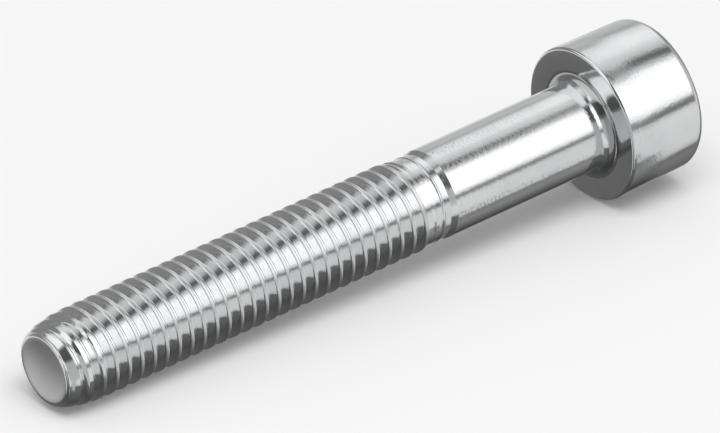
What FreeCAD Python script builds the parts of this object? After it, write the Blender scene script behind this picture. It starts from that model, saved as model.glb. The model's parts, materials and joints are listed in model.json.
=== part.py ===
import FreeCAD, Part
import math
import os

# Hexagon socket cylinder head screw, M5 x 35, part threaded: one cold formed piece of steel.
# Lengths are in millimetres and angles in degrees. The screw is built upright, with its
# point at height 0 and its head on top, and is then laid down as it comes to rest.
# The thread is drawn as the cylinder of its crests, as on a working drawing.

# Head
head_diameter = 8.4
head_height = 4.85
head_draft = 1.2
head_top_round = 0.5
head_rim_round = 0.15

# Hexagon socket, with a shallow cone at the bottom and a countersunk mouth
socket_width = 4.04
socket_depth = 2.6
socket_floor_cone = 0.4
socket_mouth_margin = 0.12
socket_mouth_angle = 45.0

# Plain shank, with a fillet under the head that is longer than it is wide
shank_length = 10.0
shank_diameter = 4.82
fillet_reach = 0.45
fillet_length = 0.75

# Rolled thread, from the point to the shank
thread_length = 25.0
thread_diameter = 4.92

# End of the thread: the crests drop to the blank that the thread was rolled from, and a
# short shoulder leads from it up to the shank
neck_diameter = 4.64
neck_length = 1.1
crest_drop_length = 0.25
shoulder_angle = 30.0

# Point: a rounded lead-in to the thread, and an end face that is dished inside a flat rim
point_length = 2.6
point_face_diameter = 3.52
point_rim_width = 0.08
dish_depth = 0.2

# Turn about its own axis in which the screw comes to rest, with two flats of the hexagon level
rest_roll = 30.0

# Radii
head_radius = head_diameter / 2
head_top_radius = head_radius - head_height * math.tan(math.radians(head_draft))
shank_radius = shank_diameter / 2
fillet_radius = shank_radius + fillet_reach
thread_radius = thread_diameter / 2
neck_radius = neck_diameter / 2
face_radius = point_face_diameter / 2
dish_radius = face_radius - point_rim_width

# Heights above the point
bearing_height = thread_length + shank_length
fillet_height = bearing_height - fillet_length
head_top_height = bearing_height + head_height
shoulder_length = (shank_radius - neck_radius) / math.tan(math.radians(shoulder_angle))
neck_end_height = thread_length - shoulder_length
neck_start_height = neck_end_height - neck_length
crest_end_height = neck_start_height - crest_drop_length

screw_axis = FreeCAD.Vector(0, 0, 1)


def point(radius, height):
    """A point of the axial section, at a radius from the axis and a height above the tip."""
    return FreeCAD.Vector(radius, 0, height)


def lines(*stations):
    """Straight edges through stations that are each a radius and a height."""
    points = [point(*station) for station in stations]
    return [Part.makeLine(start, end) for start, end in zip(points, points[1:])]


def inner_quarter(centre, width, height, upper):
    """The quarter of an upright ellipse that faces the axis or, if not upper, the outside.

    Its centre is a radius and a height, and its half axes are width and height.
    """
    middle = point(*centre)
    ellipse = Part.Ellipse(middle + point(0, height), middle + point(-width, 0), middle)
    start = 0 if upper else math.pi
    return ellipse.toShape(start, start + math.pi / 2)


def revolved(edges):
    """The solid that a closed axial section makes when it turns about the screw's axis."""
    section = Part.Face(Part.Wire(Part.sortEdges(edges)[0]))
    return section.revolve(FreeCAD.Vector(), screw_axis, 360)


def circle_edges(solid, radius, height):
    """The edges of a solid that run round the axis at a radius and a height."""
    found = []
    for edge in solid.Edges:
        if edge.Degenerated or not isinstance(edge.Curve, Part.Circle):
            continue
        off_centre = (edge.Curve.Center - point(0, height)).Length
        if max(off_centre, abs(edge.Curve.Radius - radius)) < 1e-6:
            found.append(edge)
    return found


def make_blank():
    """The formed blank: head, fillet, shank, neck, thread crests and dished point."""
    dish_middle = point(dish_radius / 2, dish_depth * 3 / 4)
    dish = Part.Arc(point(0, dish_depth), dish_middle, point(dish_radius, 0)).toShape()
    lead_in = inner_quarter((face_radius, point_length), thread_radius - face_radius,
                            point_length, False)
    fillet = inner_quarter((fillet_radius, fillet_height), fillet_reach, fillet_length, True)
    section = [dish, lead_in, fillet]
    section += lines((dish_radius, 0), (face_radius, 0))
    section += lines((thread_radius, point_length), (thread_radius, crest_end_height),
                     (neck_radius, neck_start_height), (neck_radius, neck_end_height),
                     (shank_radius, thread_length), (shank_radius, fillet_height))
    section += lines((fillet_radius, bearing_height), (head_radius, bearing_height),
                     (head_top_radius, head_top_height), (0, head_top_height),
                     (0, dish_depth))
    blank = revolved(section)
    rim = circle_edges(blank, head_radius, bearing_height)
    blank = blank.makeFillet(head_rim_round, rim)
    top = circle_edges(blank, head_top_radius, head_top_height)
    return blank.makeFillet(head_top_round, top)


def make_socket():
    """The hexagon punch that forms the socket, with the cone of its countersunk mouth."""
    corner_radius = socket_width / math.sqrt(3)
    floor_height = head_top_height - socket_depth
    lowest_height = floor_height - socket_floor_cone
    corner = point(corner_radius, lowest_height)
    corners = [FreeCAD.Rotation(screw_axis, 60 * side).multVec(corner) for side in range(6)]
    hexagon = Part.Face(Part.makePolygon(corners + corners[:1]))
    prism = hexagon.extrude(screw_axis * (head_top_height - lowest_height))
    punch = revolved(lines((0, lowest_height), (corner_radius, floor_height),
                           (corner_radius, head_top_height), (0, head_top_height),
                           (0, lowest_height)))
    mouth_radius = corner_radius + socket_mouth_margin
    mouth_depth = mouth_radius / math.tan(math.radians(socket_mouth_angle))
    mouth_low = point(0, head_top_height - mouth_depth)
    mouth = Part.makeCone(0, mouth_radius, mouth_depth, mouth_low)
    return prism.common(punch).fuse(mouth)


def resting_place(screw):
    """Where the screw lies on its head rim and its first crests, its head towards +X."""
    rise = head_radius - thread_radius
    run = bearing_height + head_rim_round - point_length
    lean = math.degrees(math.atan2(rise, run))
    turn = FreeCAD.Rotation(FreeCAD.Vector(0, 1, 0), 90 - lean)
    turn = turn * FreeCAD.Rotation(screw_axis, rest_roll)
    laid = screw.copy()
    laid.Placement = FreeCAD.Placement(FreeCAD.Vector(), turn)
    box = laid.optimalBoundingBox(False, False)
    return FreeCAD.Placement(FreeCAD.Vector(-box.Center.x, -box.Center.y, -box.ZMin), turn)


screw = make_blank().cut(make_socket())
screw.Placement = resting_place(screw)

os.makedirs("parts", exist_ok=True)
screw.exportStep("parts/cheese_head_screw.step")
print(f"solids {len(screw.Solids)}, valid {screw.isValid()}, volume {screw.Volume:.2f} mm3")
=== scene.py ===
"""A cheese head screw on a pale floor: its finished mesh, its zinc plate, and a small studio.

The screw is modelled upright, in millimetres, with its point at height 0, and is then laid
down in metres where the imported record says.
"""
import json
import logging
import math
from dataclasses import dataclass, field
from enum import Enum
from typing import Any, Callable, Sequence

import bmesh
import bpy
import numpy as np
from mathutils import Matrix, Vector

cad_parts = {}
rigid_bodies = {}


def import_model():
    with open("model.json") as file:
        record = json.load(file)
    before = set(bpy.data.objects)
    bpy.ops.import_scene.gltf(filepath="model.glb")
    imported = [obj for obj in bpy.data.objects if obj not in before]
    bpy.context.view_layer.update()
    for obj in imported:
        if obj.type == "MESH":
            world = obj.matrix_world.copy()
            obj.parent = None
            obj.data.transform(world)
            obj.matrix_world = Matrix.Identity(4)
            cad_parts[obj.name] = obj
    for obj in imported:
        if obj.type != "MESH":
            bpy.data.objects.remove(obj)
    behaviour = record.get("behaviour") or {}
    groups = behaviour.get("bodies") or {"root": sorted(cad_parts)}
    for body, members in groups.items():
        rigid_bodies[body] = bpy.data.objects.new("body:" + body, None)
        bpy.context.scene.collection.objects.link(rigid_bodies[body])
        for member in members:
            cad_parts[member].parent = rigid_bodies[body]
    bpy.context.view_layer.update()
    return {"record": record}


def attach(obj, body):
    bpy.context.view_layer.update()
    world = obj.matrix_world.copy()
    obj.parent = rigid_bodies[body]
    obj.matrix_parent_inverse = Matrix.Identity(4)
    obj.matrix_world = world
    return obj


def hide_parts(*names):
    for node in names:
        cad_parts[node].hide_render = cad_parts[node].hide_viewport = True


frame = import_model()

logging.basicConfig(level=logging.INFO, format="%(message)s")
log = logging.getLogger("screw")

NODE = "cheese_head_screw"
MILLIMETRE = 0.001

Station = tuple[float, float]
Span = tuple[float, float]
Stops = tuple[tuple[float, float], ...]
Colour = tuple[float, float, float]


# Sizes


@dataclass(frozen=True)
class ScrewSizes:
    """Sizes of the screw in millimetres and degrees, with heights counted from its point.

    The outer radii are a few thousandths under the solid's, so that this fine mesh stays
    inside the box of the solid's coarser one.
    """

    # Head
    head_radius: float = 4.197
    head_top_radius: float = 4.0954
    head_top_round: float = 0.5
    head_rim_round: float = 0.15
    bearing_height: float = 35.0
    head_top_height: float = 39.85

    # Fillet and plain shank
    fillet_radius: float = 2.86
    fillet_height: float = 34.25
    shank_radius: float = 2.41
    shank_height: float = 24.85
    shoulder_round: float = 0.08

    # Neck, with a faint ring round it
    ring_height: float = 24.03
    ring_rise: float = 0.03
    ring_half_foot: float = 0.09
    ring_half_top: float = 0.03
    ring_round: float = 0.03
    neck_radius: float = 2.32
    neck_end_height: float = 24.5
    neck_end_radius: float = 2.295
    neck_end_round: float = 0.05
    neck_start_height: float = 23.4

    # Thread
    crest_end_height: float = 22.95
    crest_radius: float = 2.458
    root_radius: float = 2.01
    pitch: float = 0.8
    flank_angle: float = 30.0
    crest_flat: float = 0.17
    crest_round: float = 0.04
    root_round: float = 0.05

    # Point
    point_length: float = 2.6
    face_radius: float = 1.752
    dish_radius: float = 1.675
    dish_depth: float = 0.2

    # Hexagon socket
    socket_width: float = 4.04
    socket_depth: float = 2.6
    socket_floor_cone: float = 0.4
    socket_mouth_margin: float = 0.12
    socket_corner_round: float = 0.05

    def flank_length(self) -> float:
        """Length of one flank of the thread along the screw."""
        return (self.crest_radius - self.root_radius) * math.tan(math.radians(self.flank_angle))

    def root_half(self) -> float:
        """Half of the flat at the root of the groove."""
        return (self.pitch - self.crest_flat) / 2 - self.flank_length()

    def nose_radius(self, height: np.ndarray | float) -> np.ndarray | float:
        """Outer radius of the rounded point, which is the crests' radius further up.

        Args:
            height: One height or many.

        Returns:
            The radius at each height.
        """
        reach = np.clip((self.point_length - height) / self.point_length, 0, 1)
        rise = self.crest_radius - self.face_radius
        return self.face_radius + rise * np.sqrt(1 - reach ** 2)


# Modelling by hand


class Keep(Enum):
    """Which side of a cutting plane across the screw stays."""

    HEAD_SIDE = "head side"
    POINT_SIDE = "point side"


class Carving(Enum):
    """What a tool does to a piece."""

    TAKE_AWAY = "DIFFERENCE"
    ADD = "UNION"
    KEEP_COMMON = "INTERSECT"


class Element(Enum):
    """A kind of mesh element, by the name of its list in a mesh."""

    EDGE = "edges"
    FACE = "faces"


def deselect_all() -> None:
    """Deselects every object, with none left in edit mode."""
    if bpy.context.object and bpy.context.object.mode != "OBJECT":
        bpy.ops.object.mode_set(mode="OBJECT")
    for thing in bpy.context.view_layer.objects:
        thing.select_set(False)


def work_on(*pieces: bpy.types.Object) -> None:
    """Selects pieces alone, the first of them active.

    Args:
        pieces: The objects that the next operators act on.
    """
    deselect_all()
    for piece in pieces:
        piece.select_set(True)
    bpy.context.view_layer.objects.active = pieces[0]


def start_editing(piece: bpy.types.Object, whole: bool = False) -> None:
    """Opens one piece in edit mode with nothing, or all of it, selected.

    Args:
        piece: The object to edit.
        whole: Whether all of it is selected.
    """
    work_on(piece)
    bpy.ops.object.mode_set(mode="EDIT")
    bpy.ops.mesh.select_mode(type="VERT")
    bpy.ops.mesh.select_all(action="SELECT" if whole else "DESELECT")


def stop_editing() -> None:
    """Goes back to object mode."""
    bpy.ops.object.mode_set(mode="OBJECT")


def select_where(piece: bpy.types.Object, element: Element,
                 test: Callable[[Any], bool]) -> None:
    """Selects the edges or the faces of the piece in edit mode that pass a test.

    Args:
        piece: The object in edit mode.
        element: Whether edges or faces are meant.
        test: Says whether an edge or a face is wanted.
    """
    bpy.ops.mesh.select_mode(type=element.name)
    mesh = bmesh.from_edit_mesh(piece.data)
    candidates = getattr(mesh, element.value)
    wanted = [each for each in candidates if test(each)]
    for each in candidates:
        each.select_set(False)
    for each in wanted:
        each.select_set(True)
    bmesh.update_edit_mesh(piece.data)


def close_up(threshold: float) -> None:
    """Merges the doubles of the piece in edit mode and turns its faces outward.

    Args:
        threshold: Distance under which two vertices are one, in millimetres.
    """
    bpy.ops.mesh.select_all(action="SELECT")
    bpy.ops.mesh.remove_doubles(threshold=threshold)
    bpy.ops.mesh.normals_make_consistent(inside=False)


def drawn_section(name: str, stations: Sequence[Station]) -> bpy.types.Object:
    """Draws an axial section vertex by vertex.

    Args:
        name: Name of the new object.
        stations: Radius and height of each corner, in millimetres.

    Returns:
        The object, a chain of edges in the XZ plane.
    """
    deselect_all()
    bpy.ops.mesh.primitive_plane_add(size=1, location=(0, 0, 0))
    section = bpy.context.object
    section.name = name
    start_editing(section, whole=True)
    bpy.ops.mesh.merge(type="CENTER")
    here = Vector((stations[0][0], 0, stations[0][1]))
    bpy.ops.transform.translate(value=here)
    for radius, height in stations[1:]:
        there = Vector((radius, 0, height))
        bpy.ops.mesh.extrude_vertices_move(TRANSFORM_OT_translate={"value": there - here})
        here = there
    stop_editing()
    return section


def spun(name: str, stations: Sequence[Station], facets: int) -> bpy.types.Object:
    """Spins an axial section about the screw's axis.

    Args:
        name: Name of the new object.
        stations: Radius and height of each corner, in millimetres.
        facets: Number of facets round the axis.

    Returns:
        The turned object, its doubles merged and its faces outward.
    """
    turned = drawn_section(name, stations)
    start_editing(turned, whole=True)
    bpy.ops.mesh.spin(steps=facets, angle=2 * math.pi, center=(0, 0, 0), axis=(0, 0, 1))
    close_up(threshold=1e-5)
    stop_editing()
    return turned


def arc(centre: Station, width: float, height: float, start: float, end: float,
        chords: int) -> list[Station]:
    """Points on an elliptical arc of the section.

    Args:
        centre: Radius and height of the centre.
        width: Half axis across the screw.
        height: Half axis along the screw.
        start: First angle in degrees, from outward towards the head.
        end: Last angle in degrees.
        chords: Number of chords.

    Returns:
        Radius and height of each point, both ends among them.
    """
    angles = np.radians(np.linspace(start, end, chords + 1))
    return [(centre[0] + width * math.cos(turn), centre[1] + height * math.sin(turn))
            for turn in angles]


def rounded(corners: Sequence[Station], radii: Sequence[float], chords: int) -> list[Station]:
    """Rounds the inner corners of an open chain.

    Args:
        corners: Radius and height of each corner.
        radii: Rounding of each corner, 0 for the two ends and for a sharp one.
        chords: Number of chords in each rounding.

    Returns:
        The chain with its corners replaced by arcs.
    """
    chain = [corners[0]]
    for before, corner, after, radius in zip(corners, corners[1:], corners[2:], radii[1:]):
        if radius <= 0:
            chain.append(corner)
            continue
        here = Vector(corner)
        back = (Vector(before) - here).normalized()
        onward = (Vector(after) - here).normalized()
        half = back.angle(onward) / 2
        middle = here + (back + onward).normalized() * (radius / math.sin(half))
        first = here + back * (radius / math.tan(half)) - middle
        last = here + onward * (radius / math.tan(half)) - middle
        sweep = first.angle(last)
        for step in range(chords + 1):
            turn = sweep * step / chords
            spoke = (first * math.sin(sweep - turn) + last * math.sin(turn)) / math.sin(sweep)
            chain.append(tuple(middle + spoke))
    return chain + [corners[-1]]


def carve(piece: bpy.types.Object, tool: bpy.types.Object, carving: Carving) -> None:
    """Applies a Boolean of a tool to a piece, and takes the tool away.

    Args:
        piece: The object that changes.
        tool: The object that cuts it, joins it or bounds it.
        carving: What the tool does.
    """
    work_on(piece)
    bpy.ops.object.modifier_add(type="BOOLEAN")
    change = piece.modifiers[-1]
    change.operation = carving.value
    change.solver = "EXACT"
    change.object = tool
    bpy.ops.object.modifier_apply(modifier=change.name)
    bpy.data.objects.remove(tool)


def cut_across(piece: bpy.types.Object, height: float, keep: Keep) -> None:
    """Cuts a piece with a plane square to the screw's axis.

    Args:
        piece: The object that is cut.
        height: Height of the plane in millimetres.
        keep: The side that stays.
    """
    start_editing(piece, whole=True)
    bpy.ops.mesh.bisect(plane_co=(0, 0, height), plane_no=(0, 0, 1),
                        clear_inner=keep is Keep.HEAD_SIDE,
                        clear_outer=keep is Keep.POINT_SIDE)
    stop_editing()


# The thread


@dataclass
class Thread:
    """The rolled thread: a right-hand helix with a rounded point end and a run-out.

    At the run-out the crests drop to the neck while the root of the groove climbs to it, and
    the last strip, the plain end, is the neck's own. Forms that cross are rounded into each
    other over the width of the blend. On the point that rounding fades between the two lengths
    of the nose fade, which are counted down from the full crests.
    """

    sizes: ScrewSizes
    phase: float = 0.0
    facets: int = 128
    flank_shares: tuple[float, ...] = (0.06, 0.5, 0.94)
    round_chords: int = 3
    pitches_below: int = 2
    lower_cut: float = 0.1
    upper_cut: float = 23.86
    plain_end: float = 0.15
    climb_start: float = 22.3
    climb_length: float = 0.7
    blend: float = 0.03
    nose_fade: Span = (1.4, 0.4)

    def groove_section(self) -> list[Station]:
        """One pitch of the section, from the middle of a root to the middle of the next.

        Returns:
            Radius and height of each point.
        """
        size = self.sizes
        depth = size.crest_radius - size.root_radius
        root = size.root_half()
        rise = root + size.flank_length()
        corners = [(size.root_radius, 0.0), (size.root_radius, root),
                   (size.crest_radius, rise), (size.crest_radius, size.pitch - rise),
                   (size.root_radius, size.pitch - root), (size.root_radius, size.pitch)]
        radii = [0, size.root_round, size.crest_round, size.crest_round, size.root_round, 0]
        chain = rounded(corners, radii, self.round_chords)
        finer = [chain[0]]
        for start, end in zip(chain, chain[1:]):
            on_flank = math.dist(start, end) > depth / 2
            for share in (*self.flank_shares, 1) if on_flank else (1,):
                finer.append((start[0] + (end[0] - start[0]) * share,
                              start[1] + (end[1] - start[1]) * share))
        return finer

    def build(self) -> bpy.types.Object:
        """Winds the section up the screw, then trims it to the point and the run-out.

        Returns:
            The thread as an open sleeve.
        """
        size = self.sizes
        below = -self.pitches_below * size.pitch + self.phase % size.pitch
        stations = [(radius, height + below) for radius, height in self.groove_section()]
        sleeve = drawn_section("thread", stations)
        winding = sleeve.modifiers.new("winding", "SCREW")
        winding.axis = "Z"
        winding.angle = 2 * math.pi
        winding.screw_offset = size.pitch
        winding.steps = winding.render_steps = self.facets
        winding.iterations = math.ceil((self.upper_cut - below) / size.pitch) + 1
        winding.use_merge_vertices = False
        work_on(sleeve)
        bpy.ops.object.modifier_apply(modifier=winding.name)
        start_editing(sleeve)
        close_up(threshold=1e-4)
        stop_editing()
        self.trim(sleeve)
        cut_across(sleeve, self.lower_cut, Keep.HEAD_SIDE)
        cut_across(sleeve, self.upper_cut, Keep.POINT_SIDE)
        return sleeve

    def trim(self, sleeve: bpy.types.Object) -> None:
        """Holds every radius between the climbing root and the outer envelope.

        The last strip below the upper cut is plain, so that it meets the neck.

        Args:
            sleeve: The wound thread.
        """
        size = self.sizes
        places = np.empty(3 * len(sleeve.data.vertices))
        sleeve.data.vertices.foreach_get("co", places)
        places = places.reshape(-1, 3)
        height = places[:, 2]
        radius = np.hypot(places[:, 0], places[:, 1])
        trimmed = self.soft_lower(radius, self.soft_envelope(height))
        trimmed = np.minimum(trimmed, self.envelope(height))
        trimmed = -self.soft_lower(-trimmed, -self.climbing_root(height))
        trimmed = np.where(height > self.upper_cut - self.plain_end, size.neck_radius, trimmed)
        places[:, :2] *= (trimmed / radius)[:, None]
        sleeve.data.vertices.foreach_set("co", places.ravel())
        sleeve.data.update()

    def soft_lower(self, first: np.ndarray, second: np.ndarray) -> np.ndarray:
        """The lower of two values, rounded off a little where the two are close."""
        close = np.maximum(self.blend - np.abs(first - second), 0) / self.blend
        return np.minimum(first, second) - close * close * self.blend / 4

    def envelope(self, height: np.ndarray) -> np.ndarray:
        """Outer radius of the rolled part at each height.

        Args:
            height: Heights in millimetres.

        Returns:
            Radii in millimetres.
        """
        size = self.sizes
        run_out = np.interp(height, [size.crest_end_height, size.neck_start_height],
                            [size.crest_radius, size.neck_radius])
        return np.minimum(size.nose_radius(height), run_out)

    def soft_envelope(self, height: np.ndarray) -> np.ndarray:
        """The envelope, lifted off the full crests so that it rounds only what it trims.

        Args:
            height: Heights in millimetres.

        Returns:
            Radii in millimetres.
        """
        size = self.sizes
        start, full = (size.point_length - below for below in self.nose_fade)
        lift = np.interp(height, [start, full, size.crest_end_height, size.neck_start_height],
                         [0, self.blend, self.blend, 0])
        return self.envelope(height) + lift

    def climbing_root(self, height: np.ndarray) -> np.ndarray:
        """Lowest radius of the groove at each height, climbing to the neck at the run-out.

        Args:
            height: Heights in millimetres.

        Returns:
            Radii in millimetres.
        """
        size = self.sizes
        low = size.root_radius - self.blend
        climb = np.clip((height - self.climb_start) / self.climb_length, 0, 1)
        return low + (size.neck_radius - low) * climb ** 2 * (3 - 2 * climb)


# Head and point


@dataclass
class HeadEnd:
    """Neck, shank, fillet and head, with the hexagon socket.

    The bearing ring and the top ring are circles of edges in the flat faces beside the
    fillet and the socket's mouth. The overshoots take the socket's tools clear of the head.
    The cap that closes the neck end is found within the cap reach.
    """

    sizes: ScrewSizes
    facets: int = 144
    start_height: float = 23.88
    cap_reach: float = 0.001
    neck_chords: int = 3
    fillet_chords: int = 12
    head_chords: int = 7
    bearing_ring: float = 0.1
    top_ring_radius: float = 2.7
    prism_length: float = 3.0
    punch_overshoot: float = 0.3
    mouth_overshoot: float = 0.2

    def section(self) -> list[Station]:
        """The outline from the neck to the top of the head.

        Returns:
            Radius and height of each point, closed on the axis at both ends.
        """
        size = self.sizes
        foot, top = size.ring_half_foot, size.ring_half_top
        ring = [(size.neck_radius + size.ring_rise * rise, size.ring_height + along)
                for rise, along in ((0, -foot), (1, -top), (1, top), (0, foot))]
        shoulder = rounded([(size.neck_radius, self.start_height), *ring,
                            (size.neck_end_radius, size.neck_end_height),
                            (size.shank_radius, size.shank_height),
                            (size.shank_radius, size.fillet_height)],
                           [0, *[size.ring_round] * len(ring), size.neck_end_round,
                            size.shoulder_round, 0], self.neck_chords)
        fillet = arc((size.fillet_radius, size.fillet_height),
                     size.fillet_radius - size.shank_radius,
                     size.bearing_height - size.fillet_height, 180, 90, self.fillet_chords)
        head = rounded([(size.fillet_radius + self.bearing_ring, size.bearing_height),
                        (size.head_radius, size.bearing_height),
                        (size.head_top_radius, size.head_top_height),
                        (self.top_ring_radius, size.head_top_height)],
                       [0, size.head_rim_round, size.head_top_round, 0], self.head_chords)
        return ([(0, self.start_height)] + shoulder[:-1] + fillet + head
                + [(0, size.head_top_height)])

    def build(self) -> bpy.types.Object:
        """Spins the outline, then sinks the socket and opens the neck end.

        Returns:
            The head end, open where it meets the thread.
        """
        head = spun("head_end", self.section(), self.facets)
        carve(head, self.socket(), Carving.TAKE_AWAY)
        start_editing(head)
        select_where(head, Element.FACE, lambda face: (
            face.calc_center_median().z < self.start_height + self.cap_reach))
        bpy.ops.mesh.delete(type="FACE")
        stop_editing()
        return head

    def socket(self) -> bpy.types.Object:
        """The space of the socket: a hexagon with a conical floor and a countersunk mouth.

        Returns:
            A closed object that stands out of the head's top a little.
        """
        size = self.sizes
        top = size.head_top_height
        corner = size.socket_width / math.sqrt(3)
        floor = top - size.socket_depth
        lowest = floor - size.socket_floor_cone
        deselect_all()
        bpy.ops.mesh.primitive_cylinder_add(
            vertices=6, radius=corner, depth=self.prism_length,
            location=(0, 0, lowest + self.prism_length / 2))
        prism = bpy.context.object
        prism.rotation_euler.z = math.pi / 6
        start_editing(prism)
        select_where(prism, Element.EDGE, lambda edge: abs(
            edge.verts[0].co.z - edge.verts[1].co.z) > self.prism_length / 2)
        bpy.ops.mesh.bevel(offset=size.socket_corner_round, segments=2, affect="EDGES")
        stop_editing()
        bpy.ops.object.transform_apply(location=True, rotation=True, scale=True)
        above = top + self.punch_overshoot
        punch = spun("punch", [(0, lowest), (corner, floor), (corner, above), (0, above)],
                     self.facets)
        carve(prism, punch, Carving.KEEP_COMMON)
        mouth = corner + size.socket_mouth_margin
        over = self.mouth_overshoot
        cone = spun("mouth", [(0, top - mouth), (mouth + over, top + over), (0, top + over)],
                    self.facets)
        carve(prism, cone, Carving.ADD)
        return prism


@dataclass
class PointEnd:
    """The end face of the point: a dish inside a rounded rim.

    The rim takes one point in each stride of the nose's fine chords, up to the end height.
    """

    sizes: ScrewSizes
    facets: int = 144
    end_height: float = 0.08
    dish_chords: int = 11
    nose_chords: int = 400
    nose_stride: int = 12

    def section(self) -> list[Station]:
        """The outline from the middle of the dish to the start of the thread.

        Returns:
            Radius and height of each point.
        """
        size = self.sizes
        dish = [(size.dish_radius * share, size.dish_depth * (1 - share ** 2))
                for share in np.linspace(0, 1, self.dish_chords + 1)]
        quarter = arc((size.face_radius, size.point_length), size.crest_radius - size.face_radius,
                      size.point_length, 270, 360, self.nose_chords)
        nose = [place for place in quarter if place[1] < self.end_height]
        end = (float(size.nose_radius(self.end_height)), self.end_height)
        return dish + nose[::self.nose_stride] + [end]

    def build(self) -> bpy.types.Object:
        """Spins the outline, which stays open where it meets the thread."""
        return spun("point_end", self.section(), self.facets)


# Shader maths


class Shader:
    """A node tree that finishes and lights are written into.

    A Mix node has sockets of one name for each kind of value, so its colours go by number.
    """

    FIRST_COLOUR = 6
    SECOND_COLOUR = 7
    MIXED_COLOUR = 2

    def __init__(self, tree: bpy.types.NodeTree) -> None:
        """Empties the tree of a material or of the world, and takes it over."""
        self.tree = tree
        tree.nodes.clear()

    def node(self, kind: str, settings: dict[str, Any] | None = None,
             inputs: dict[str | int, Any] | None = None) -> bpy.types.Node:
        """Adds one node.

        Args:
            kind: The node's type.
            settings: Its own properties, set before its sockets.
            inputs: Values, fields or sockets for its inputs, by name or place.

        Returns:
            The node.
        """
        made = self.tree.nodes.new(kind)
        for name, value in (settings or {}).items():
            if name == "stops":
                self.set_stops(made.color_ramp, value)
            else:
                setattr(made, name, value)
        for name, value in (inputs or {}).items():
            self.connect(made.inputs[name], value)
        return made

    def set_stops(self, ramp: bpy.types.ColorRamp, stops: Stops) -> None:
        """Sets the grey stops of a ramp.

        Args:
            ramp: The ramp.
            stops: Place and brightness of each stop, in order.
        """
        while len(ramp.elements) > 1:
            ramp.elements.remove(ramp.elements[-1])
        for number, (place, grey) in enumerate(stops):
            element = ramp.elements[0] if number == 0 else ramp.elements.new(place)
            element.position = place
            element.color = (grey, grey, grey, 1)

    def connect(self, socket: bpy.types.NodeSocket, value: Any) -> None:
        """Gives an input a value or a link.

        Args:
            socket: The input.
            value: A number, a tuple, a field or an output socket.
        """
        if isinstance(value, Field):
            value = value.socket
        if isinstance(value, bpy.types.NodeSocket):
            self.tree.links.new(value, socket)
        else:
            socket.default_value = value

    def maths(self, operation: str, *values: Any) -> "Field":
        """Adds a Math node of one operation on numbers or fields."""
        made = self.node("ShaderNodeMath", {"operation": operation}, dict(enumerate(values)))
        return Field(self, made.outputs[0])

    def mix(self, share: Any, first: Any, second: Any) -> bpy.types.NodeSocket:
        """Adds a Mix node for colours.

        Args:
            share: 0 for the first colour and 1 for the second.
            first: A colour or an output socket.
            second: A colour or an output socket.

        Returns:
            The mixed colour.
        """
        first, second = ((*side, 1) if isinstance(side, tuple) else side
                         for side in (first, second))
        made = self.node("ShaderNodeMix", {"data_type": "RGBA"},
                         {"Factor": share, self.FIRST_COLOUR: first,
                          self.SECOND_COLOUR: second})
        return made.outputs[self.MIXED_COLOUR]

    def noise(self, where: bpy.types.NodeSocket, scale: float, detail: float,
              roughness: float = 0.5) -> "Field":
        """Adds a noise pattern.

        Args:
            where: The place that the pattern is laid on.
            scale: Its scale.
            detail: How many finer layers it has.
            roughness: How strong the finer layers are.

        Returns:
            The pattern, from 0 to 1.
        """
        made = self.node("ShaderNodeTexNoise", {"noise_dimensions": "3D"},
                         {"Vector": where, "Scale": scale, "Detail": detail,
                          "Roughness": roughness})
        return Field(self, made.outputs["Fac"])

    def direction_part(self, vector: bpy.types.NodeSocket, along: Vector) -> "Field":
        """The part of a vector along a fixed direction.

        Args:
            vector: A vector output.
            along: The direction.

        Returns:
            The dot product of the two.
        """
        made = self.node("ShaderNodeVectorMath", {"operation": "DOT_PRODUCT"},
                         {0: vector, 1: tuple(along)})
        return Field(self, made.outputs["Value"])


@dataclass(frozen=True)
class Field:
    """A value that varies over a surface or a sky, with arithmetic that adds Math nodes."""

    shader: Shader
    socket: bpy.types.NodeSocket

    def __add__(self, other: Any) -> "Field":
        """This plus another."""
        return self.shader.maths("ADD", self, other)

    __radd__ = __add__

    def __sub__(self, other: Any) -> "Field":
        """This minus another."""
        return self.shader.maths("SUBTRACT", self, other)

    def __rsub__(self, other: Any) -> "Field":
        """Another minus this."""
        return self.shader.maths("SUBTRACT", other, self)

    def __mul__(self, other: Any) -> "Field":
        """This times another."""
        return self.shader.maths("MULTIPLY", self, other)

    __rmul__ = __mul__

    def __truediv__(self, other: Any) -> "Field":
        """This over another."""
        return self.shader.maths("DIVIDE", self, other)

    def __rtruediv__(self, other: Any) -> "Field":
        """Another over this."""
        return self.shader.maths("DIVIDE", other, self)

    def blend(self, other: Any, share: "Field") -> "Field":
        """This where the share is 0, another where it is 1, and a mixture between."""
        return self * (1 - share) + share * other

    def step(self, low: float, high: float) -> "Field":
        """A smooth step from 0 at one value to 1 at another, which may be the lower.

        Args:
            low: Where it is 0.
            high: Where it is 1.

        Returns:
            The step.
        """
        rising = low < high
        made = self.shader.node(
            "ShaderNodeMapRange", {"interpolation_type": "SMOOTHSTEP"},
            {"Value": self, "From Min": min(low, high), "From Max": max(low, high),
             "To Min": 0.0 if rising else 1.0, "To Max": 1.0 if rising else 0.0})
        return Field(self.shader, made.outputs["Result"])


# Place of the screw


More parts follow.
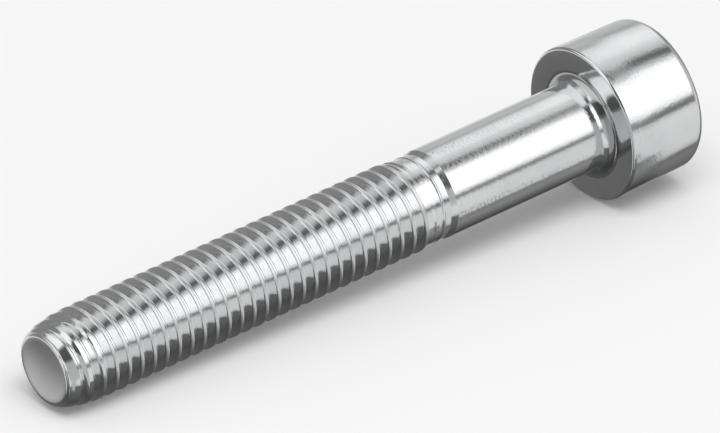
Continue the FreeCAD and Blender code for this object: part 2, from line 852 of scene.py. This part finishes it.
@dataclass(frozen=True)
class Placement:
    """Where the screw lies: the middle of its point, its axis, and its roll about it."""

    point: Vector
    axis: Vector
    roll: float

    @staticmethod
    def from_record(record: dict[str, Any], sizes: ScrewSizes, roll: float) -> "Placement":
        """Reads the place from the socket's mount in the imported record.

        Args:
            record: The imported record.
            sizes: The screw's sizes.
            roll: Roll of the section's first line about the axis, in degrees.

        Returns:
            The placement, in millimetres.
        """
        mount = next(each for each in record["mounts"] if each["name"] == "hexagon_socket")
        axis = Vector(mount["axis"]).normalized()
        top = Vector(mount["pos_m"]) / MILLIMETRE
        return Placement(top - axis * sizes.head_top_height, axis, roll)

    def matrix(self) -> Matrix:
        """The matrix that lays the upright screw down, from millimetres to metres.

        Returns:
            A rotation, a place and the scale of the units.
        """
        lean = math.asin(self.axis.z)
        turn = Matrix.Rotation(math.pi / 2 - lean, 4, "Y") @ Matrix.Rotation(
            math.radians(self.roll), 4, "Z")
        return Matrix.Scale(MILLIMETRE, 4) @ Matrix.Translation(self.point) @ turn


# Finish


@dataclass(frozen=True)
class ZincPlate:
    """Bright zinc plate.

    It is mirror-like on the formed faces and a little cloudy, rubbed dull on the flats of the
    crests and in the dish of the point, and darkened with painted shade in the corner under
    the head. The scales are per metre, and the grain's depth is in metres.
    """

    name: str = "zinc_plate"
    colour: Colour = (0.86, 0.865, 0.87)
    shade: Colour = (0.80, 0.81, 0.82)
    crest_shade: Colour = (0.79, 0.795, 0.80)
    dull: Colour = (0.7, 0.7, 0.7)
    # Painted shade: the darker colour of the corner under the head, where the fillet meets the
    # bearing face
    crease_shade: Colour = (0.5, 0.505, 0.51)
    smooth_roughness: float = 0.09
    crest_roughness: float = 0.32
    dull_roughness: float = 0.42
    cloud_roughness: float = 0.1
    cloud_scale: float = 420.0
    cloud_contrast: Span = (0.35, 0.7)
    grain_scale: float = 5200.0
    grain_strength: float = 0.1
    grain_depth: float = 0.00004

    # How softly the dull dish ends, in millimetres
    dish_lip: float = 0.04
    face_blur: float = 0.02

    # Where a mark begins and where it is full, in millimetres from the size that it follows
    crest_edge: Span = (0.035, 0.01)
    # The painted shade under the head reaches this far below the bearing face and out from the
    # fillet
    crease_shade_below: Span = (0.4, 0.2)
    crease_shade_reach: Span = (0.14, 0.06)

    def material(self, place: Placement, sizes: ScrewSizes) -> bpy.types.Material:
        """Makes the material.

        Args:
            place: Where the screw lies.
            sizes: The screw's sizes.

        Returns:
            The material.
        """
        material = bpy.data.materials.new(self.name)
        material.use_nodes = True
        shader = Shader(material.node_tree)
        where = shader.node("ShaderNodeTexCoord").outputs["Object"]
        offset = shader.node("ShaderNodeVectorMath", {"operation": "SUBTRACT"},
                             {0: where, 1: tuple(place.point * MILLIMETRE)}).outputs[0]
        distance = Field(shader, shader.node("ShaderNodeVectorMath", {"operation": "LENGTH"},
                                             {0: offset}).outputs["Value"]) / MILLIMETRE
        height = shader.direction_part(offset, place.axis) / MILLIMETRE
        radius = shader.maths("SQRT", distance * distance - height * height)
        dish = height.step(sizes.dish_depth + self.dish_lip, sizes.dish_depth) * distance.step(
            sizes.face_radius + self.face_blur, sizes.face_radius - self.face_blur)
        crest = radius.step(*(sizes.crest_radius - edge for edge in self.crest_edge))
        crest = crest * height.step(sizes.neck_start_height, sizes.crest_end_height)
        # Painted shade: the corner mask darkens the colour in the corner under the head
        corner = height.step(*(sizes.bearing_height - below for below in self.crease_shade_below))
        corner = corner * radius.step(*(sizes.fillet_radius + far for far in self.crease_shade_reach))
        cloud = shader.noise(where, self.cloud_scale, detail=4.0, roughness=0.6)
        colour = shader.mix(cloud.step(*self.cloud_contrast), self.colour, self.shade)
        # The crest and dish colours are wear; the corner's colour is painted shade
        for mask, wear_and_shade in ((crest, self.crest_shade), (dish, self.dull), (corner, self.crease_shade)):
            colour = shader.mix(mask, colour, wear_and_shade)
        roughness = (cloud - 0.5) * self.cloud_roughness + self.smooth_roughness
        for mask, rubbed in ((dish, self.dull_roughness), (crest, self.crest_roughness)):
            roughness = roughness + mask * (rubbed - self.smooth_roughness)
        grain = shader.noise(where, self.grain_scale, detail=2.0)
        bump = shader.node("ShaderNodeBump", {}, {
            "Strength": self.grain_strength, "Distance": self.grain_depth,
            "Height": grain}).outputs["Normal"]
        surface = shader.node("ShaderNodeBsdfPrincipled", {},
                              {"Base Color": colour, "Roughness": roughness, "Metallic": 1.0,
                               "Normal": bump}).outputs[0]
        shader.node("ShaderNodeOutputMaterial", {}, {"Surface": surface})
        return material


@dataclass(frozen=True)
class PaleFloor:
    """Matte, nearly white board."""

    name: str = "pale_board"
    light: Colour = (0.93, 0.93, 0.93)
    dark: Colour = (0.91, 0.91, 0.912)
    cloud_scale: float = 14.0
    roughness: float = 0.9
    specular: float = 0.1

    def material(self) -> bpy.types.Material:
        """Makes the material.

        Returns:
            The material.
        """
        material = bpy.data.materials.new(self.name)
        material.use_nodes = True
        shader = Shader(material.node_tree)
        where = shader.node("ShaderNodeTexCoord").outputs["Object"]
        cloud = shader.noise(where, self.cloud_scale, detail=3.0)
        colour = shader.mix(cloud, self.light, self.dark)
        surface = shader.node("ShaderNodeBsdfPrincipled", {},
                              {"Base Color": colour, "Roughness": self.roughness,
                               "Specular IOR Level": self.specular}).outputs[0]
        shader.node("ShaderNodeOutputMaterial", {}, {"Surface": surface})
        return material


# The whole screw


@dataclass
class CheeseHeadScrew:
    """The finished screw: point, thread and head end joined into one closed mesh.

    Its crests lie as in the photograph: on the line that faces the camera, which is the facing
    line's degrees round from the underside, a root ends at the height of the first root end.
    The open strips between the parts are narrower than the strip reach. Edges are shaded
    smooth up to the smooth angle, in degrees.
    """

    place: Placement
    sizes: ScrewSizes = field(default_factory=ScrewSizes)
    finish: ZincPlate = field(default_factory=ZincPlate)
    facing_line: float = 232.44
    first_root_end: float = 0.769
    strip_reach: float = 0.06
    smooth_angle: float = 32.0

    def thread_phase(self) -> float:
        """Height of the middle of a root on the section's first line."""
        turn = self.facing_line - self.place.roll
        return self.first_root_end - self.sizes.root_half() - self.sizes.pitch * turn / 360

    def build(self) -> bpy.types.Object:
        """Builds, joins, lays down and dresses the screw.

        Returns:
            The finished object.
        """
        thread = Thread(self.sizes, self.thread_phase())
        sleeve = thread.build()
        head = HeadEnd(self.sizes).build()
        point = PointEnd(self.sizes).build()
        work_on(sleeve, head, point)
        bpy.ops.object.join()
        screw = bpy.context.object
        screw.name = screw.data.name = "screw"
        self.bridge(screw, thread.upper_cut)
        self.bridge(screw, thread.lower_cut)
        start_editing(screw, whole=True)
        bpy.ops.mesh.normals_make_consistent(inside=False)
        stop_editing()
        screw.data.transform(self.place.matrix())
        screw.data.update()
        work_on(screw)
        bpy.ops.object.shade_smooth_by_angle(angle=math.radians(self.smooth_angle))
        screw.data.materials.clear()
        screw.data.materials.append(self.finish.material(self.place, self.sizes))
        return screw

    def bridge(self, screw: bpy.types.Object, height: float) -> None:
        """Closes the narrow open strip near a height.

        Args:
            screw: The joined mesh, upright and in millimetres.
            height: Height of the strip.
        """
        start_editing(screw)
        select_where(screw, Element.EDGE, lambda edge: edge.is_boundary
                     and abs(edge.verts[0].co.z - height) < self.strip_reach)
        bpy.ops.mesh.bridge_edge_loops()
        stop_editing()


# Studio


@dataclass(frozen=True)
class Board:
    """A plain board in the room.

    Each span says where the board begins to show and where it shows in full, in degrees of
    lean, of turn, or of reach, which is the turn without its sign.
    """

    brightness: float
    lean: Span
    reach: Span | None = None
    turn: Span | None = None


@dataclass(frozen=True)
class Room:
    """What the plate mirrors: long boxes, boards and gaps that run along the screw.

    A direction is its turn about the screw's axis, counted from the camera's side downwards,
    and its lean from the head's end of the axis. The four bands are brightnesses by turn.
    By lean they are what the head mirrors, then the shank, then the grooves of the thread,
    and last the fillet and the point. Those last ones begin sooner on the camera's side, by
    the end advance, and stop short of the far side and of the axis. The brightnesses of the
    first three began as greys of the photograph, at the directions that its pixels mirror,
    and were then partly changed.

    Before them stand the boards: one beyond the head on the camera's side, one straight
    beyond the point, one that the dish mirrors, and one above, beyond the head. What isn't
    mirrored is lit evenly.
    """

    axis: Vector
    towards_camera: Vector
    head_bands: Stops = (
        (-180, 0.58), (-163, 0.61), (-138, 0.53), (-124, 0.41), (-112, 0.8), (-97, 0.96),
        (-84, 0.96), (-70, 0.73), (-62, 0.6), (-57, 0.29), (-52.5, 0.13), (-47, 0.19),
        (-42.5, 0.45), (-37.5, 0.75), (-33, 1.11), (-28, 1.2), (14, 1.2), (21, 1.1), (26, 0.87),
        (31, 0.23), (37, 0.18), (42, 0.62), (47, 0.74), (95, 0.68), (103, 0.61), (108.5, 0.42),
        (112, 0.17), (125, 0.2), (155, 0.13), (164, 0.15), (180, 0.58))
    shank_bands: Stops = (
        (-180, 0.5), (-157, 0.78), (-147, 0.54), (-138, 0.51), (-125, 0.57), (-113, 0.47),
        (-102, 0.83), (-92, 0.96), (-78, 0.94), (-68, 0.74), (-57, 0.64), (-52, 0.47),
        (-48, 0.36), (-43, 0.41), (-37, 0.56), (-33, 0.74), (-28, 1.1), (-22, 1.2), (15, 1.2),
        (22, 1.09), (27, 0.85), (31.5, 0.36), (36.5, 0.22), (42, 0.55), (47, 0.67), (79, 0.7),
        (86, 0.66), (92, 0.24), (107, 0.26), (125, 0.15), (150, 0.04), (180, 0.5))
    groove_bands: Stops = (
        (-180, 0.14), (-175, 0.16), (-168, 0.75), (-156, 0.75), (-148, 0.27), (-124, 0.23),
        (-104, 0.28), (-94, 0.23), (-86, 0.52), (-79, 0.74), (-70, 0.74), (-59, 0.59),
        (-54, 0.37), (-48, 0.13), (-41, 0.13), (-36, 0.38), (-31, 0.76), (-24, 1.18),
        (-17, 1.5), (10, 1.5), (20, 1.13), (26, 0.75), (30.5, 0.27), (35, 0.27), (39.5, 0.68),
        (45, 0.78), (66, 0.75), (73, 0.66), (76, 0.15), (88, 0.14), (130, 0.07), (180, 0.14))
    end_bands: Stops = (
        (-180, 0.5), (-104, 0.9), (-62, 1.05), (-42, 0.95), (-36, 0.35), (-31, 0.1), (-3, 0.08),
        (4, 0.15), (11, 0.45), (60, 0.52), (90, 0.5), (97, 0.12), (180, 0.3))
    boards: tuple[Board, ...] = (
        Board(0.55, lean=(48, 40), reach=(62, 45)),
        Board(0.6, lean=(164, 172)),
        Board(0.85, lean=(130, 142), reach=(135, 150)),
        Board(0.3, lean=(46, 38), turn=(-60, -72)))
    shank_lean: Span = (57.0, 57.7)
    groove_lean: Span = (60.7, 61.6)
    end_lean: Span = (97, 104)
    end_advance: float = 13
    end_advance_reach: Span = (62, 45)
    end_stop_lean: Span = (168, 160)
    end_stop_reach: Span = (118, 106)
    even_light: float = 0.62

    def build(self) -> None:
        """Paints the room on the world, for mirrored rays only."""
        world = bpy.context.scene.world or bpy.data.worlds.new("room")
        bpy.context.scene.world = world
        world.use_nodes = True
        shader = Shader(world.node_tree)
        facing = self.towards_camera - self.axis * self.axis.dot(self.towards_camera)
        facing.normalize()
        under = self.axis.cross(facing)
        look = shader.node("ShaderNodeTexCoord").outputs["Generated"]
        turn = shader.maths("DEGREES", shader.maths(
            "ARCTAN2", shader.direction_part(look, under), shader.direction_part(look, facing)))
        lean = shader.maths("DEGREES", shader.maths(
            "ARCCOSINE", shader.direction_part(look, self.axis)))
        reach = shader.maths("ABSOLUTE", turn)
        advanced = lean + reach.step(*self.end_advance_reach) * self.end_advance
        near_end = advanced.step(*self.end_lean) * lean.step(*self.end_stop_lean)
        near_end = near_end * reach.step(*self.end_stop_reach)
        room = self.bands(shader, turn, self.head_bands)
        for stops, share in ((self.shank_bands, lean.step(*self.shank_lean)),
                             (self.groove_bands, lean.step(*self.groove_lean)),
                             (self.end_bands, near_end)):
            room = room.blend(self.bands(shader, turn, stops), share)
        for board in self.boards:
            shown = lean.step(*board.lean)
            if board.reach:
                shown = shown * reach.step(*board.reach)
            if board.turn:
                shown = shown * turn.step(*board.turn)
            room = room.blend(board.brightness, shown)
        mirrored = Field(shader, shader.node("ShaderNodeLightPath").outputs["Is Glossy Ray"])
        strength = mirrored * room + (1 - mirrored) * self.even_light
        light = shader.node("ShaderNodeBackground", {}, {"Color": (1, 1, 1, 1),
                                                         "Strength": strength}).outputs[0]
        shader.node("ShaderNodeOutputWorld", {}, {"Surface": light})

    def bands(self, shader: Shader, turn: Field, stops: Stops) -> Field:
        """Brightness by turn about the axis.

        Args:
            shader: The world's shader.
            turn: Turn in degrees, from -180 to 180.
            stops: Turn and brightness of each stop.

        Returns:
            The brightness.
        """
        places = tuple((angle / 360 + 0.5, grey) for angle, grey in stops)
        ramp = shader.node("ShaderNodeValToRGB", {"stops": places}, {"Fac": turn / 360 + 0.5})
        return Field(shader, ramp.outputs["Color"])


@dataclass
class Studio:
    """Pale floor, soft light and the camera.

    The camera's sizes are in degrees, millimetres and pixels of the 720 by 433 picture. Its
    clip, the floor's size and the lamp's place and size are in metres. Middle depth is how
    far behind its point, as the camera looks, the middle of the screw lies.
    """

    place: Placement
    azimuth: float = 38.9
    elevation: float = 29.5
    distance: float = 800.0
    pixels_per_millimetre: float = 19.7
    width: int = 720
    height: int = 433
    point_pixel: tuple[float, float] = (48.1, 368.5)
    middle_depth: float = 10.35
    sensor_width: float = 36.0
    clip: Span = (0.01, 20.0)
    floor_size: float = 6.0
    lamp_place: tuple[float, float, float] = (-0.1, -0.25, 0.6)
    lamp_size: tuple[float, float] = (0.5, 0.35)
    lamp_power: float = 2.2

    def axes(self) -> tuple[Vector, Vector, Vector]:
        """The camera's directions.

        Returns:
            Right, up and forward.
        """
        turn = math.radians(90 - self.azimuth)
        tilt = math.radians(self.elevation)
        level = Vector((math.cos(turn), math.sin(turn), 0))
        right = Vector((math.sin(turn), -math.cos(turn), 0))
        up = level * math.sin(tilt) + Vector((0, 0, math.cos(tilt)))
        forward = level * math.cos(tilt) - Vector((0, 0, math.sin(tilt)))
        return right, up, forward

    def build(self) -> None:
        """Sets up the camera, the floor, the lamp and the surroundings."""
        self.camera()
        self.floor()
        self.lamp()
        Room(self.place.axis, -self.axes()[2]).build()
        settings = bpy.context.scene.view_settings
        settings.view_transform = "Standard"
        settings.look = "None"

    def camera(self) -> None:
        """Places the camera so that the screw's point falls on its pixel."""
        right, up, forward = self.axes()
        across = (self.width / 2 - self.point_pixel[0]) / self.pixels_per_millimetre
        rise = (self.point_pixel[1] - self.height / 2) / self.pixels_per_millimetre
        target = self.place.point + right * across + up * rise + forward * self.middle_depth
        data = bpy.data.cameras.new("camera")
        data.sensor_width = self.sensor_width
        data.lens = self.sensor_width * self.pixels_per_millimetre * self.distance / self.width
        data.clip_start, data.clip_end = self.clip
        camera = bpy.data.objects.new("camera", data)
        camera.location = (target - forward * self.distance) * MILLIMETRE
        camera.rotation_euler = Matrix((right, up, -forward)).transposed().to_euler()
        bpy.context.scene.collection.objects.link(camera)
        bpy.context.scene.camera = camera

    def floor(self) -> None:
        """Lays the board under the screw."""
        deselect_all()
        bpy.ops.mesh.primitive_plane_add(size=self.floor_size, location=(0, 0, 0))
        floor = bpy.context.object
        floor.name = "floor"
        floor.data.materials.append(PaleFloor().material())
        floor.visible_glossy = False

    def lamp(self) -> None:
        """Hangs one large soft lamp, which gives the floor its shadow."""
        data = bpy.data.lights.new("softbox", "AREA")
        data.shape = "RECTANGLE"
        data.size, data.size_y = self.lamp_size
        data.energy = self.lamp_power
        lamp = bpy.data.objects.new("softbox", data)
        lamp.location = self.lamp_place
        lamp.rotation_euler = (-Vector(self.lamp_place)).to_track_quat("-Z", "Y").to_euler()
        lamp.visible_glossy = False
        lamp.visible_camera = False
        bpy.context.scene.collection.objects.link(lamp)


def main() -> None:
    """Builds the screw and its studio, and logs the screw's count of triangles."""
    sizes = ScrewSizes()
    place = Placement.from_record(frame["record"], sizes, roll=90.0)
    screw = CheeseHeadScrew(place, sizes).build()
    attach(screw, "root")
    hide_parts(NODE)
    triangles = sum(len(face.vertices) - 2 for face in screw.data.polygons)
    log.info("screw: %d triangles", triangles)
    Studio(place).build()


if __name__ == "__main__":
    main()
